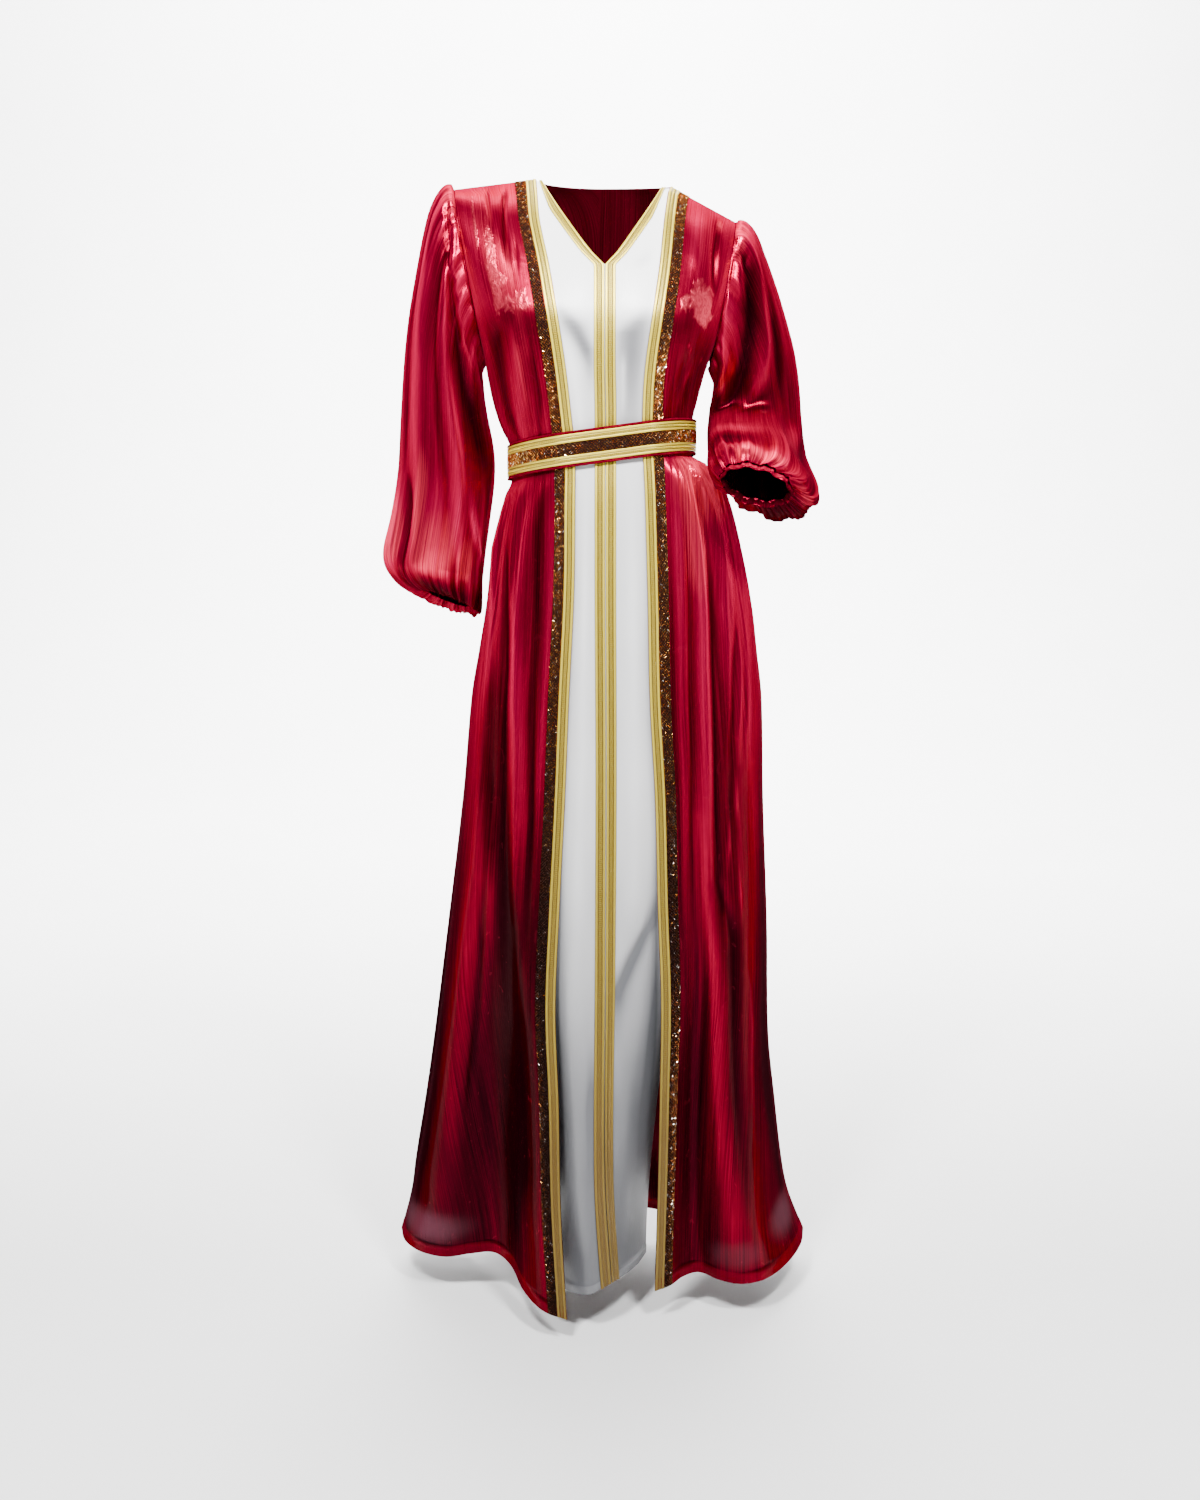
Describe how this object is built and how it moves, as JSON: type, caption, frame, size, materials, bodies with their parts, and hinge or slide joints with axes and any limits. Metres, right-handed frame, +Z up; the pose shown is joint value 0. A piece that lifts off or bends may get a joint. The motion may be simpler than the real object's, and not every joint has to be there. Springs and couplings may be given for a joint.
{
  "type": "satin dress",
  "caption": "Full-length layered dress, worn and hollow: red satin robe with balloon sleeves and trimmed front edges over a white front panel, belted at the waist.",
  "frame": {"origin": "where the wearer's shoulders hold the dress: between the two side neck points, 20 mm below the higher one", "axes": "+Z up towards the neck, -Y out of the front of the dress, +X towards the wearer's left"},
  "size_m": [0.589, 0.3363, 1.5078],
  "materials": {
    "red_satin": "crimson satin-organza, bright streaky sheen",
    "white_satin": "pearl white satin, soft sheen",
    "gold_braid": "woven pale gold braid, metallic thread",
    "copper_sequin": "copper sequins on brown net, glittering"
  },
  "bodies": {
    "root": {"bodice_back_right": "red_satin", "bodice_back_left": "red_satin", "skirt_back_right": "red_satin", "skirt_back_left": "red_satin", "bodice_front_right": "red_satin", "bodice_front_left": "red_satin", "skirt_front_right": "red_satin", "skirt_front_left": "red_satin", "sleeve_right": "red_satin", "sleeve_left": "red_satin", "cuff_right": "red_satin", "cuff_left": "red_satin", "front_panel": "white_satin", "gold_band_right": "gold_braid", "gold_band_left": "gold_braid", "sequin_band_right": "copper_sequin", "sequin_band_left": "copper_sequin", "neck_braid_right": "gold_braid", "neck_braid_left": "gold_braid", "belt_band": "red_satin", "belt_braid_upper": "gold_braid", "belt_braid_lower": "gold_braid", "belt_sequin_strip": "copper_sequin"}
  },
  "joints": []
}
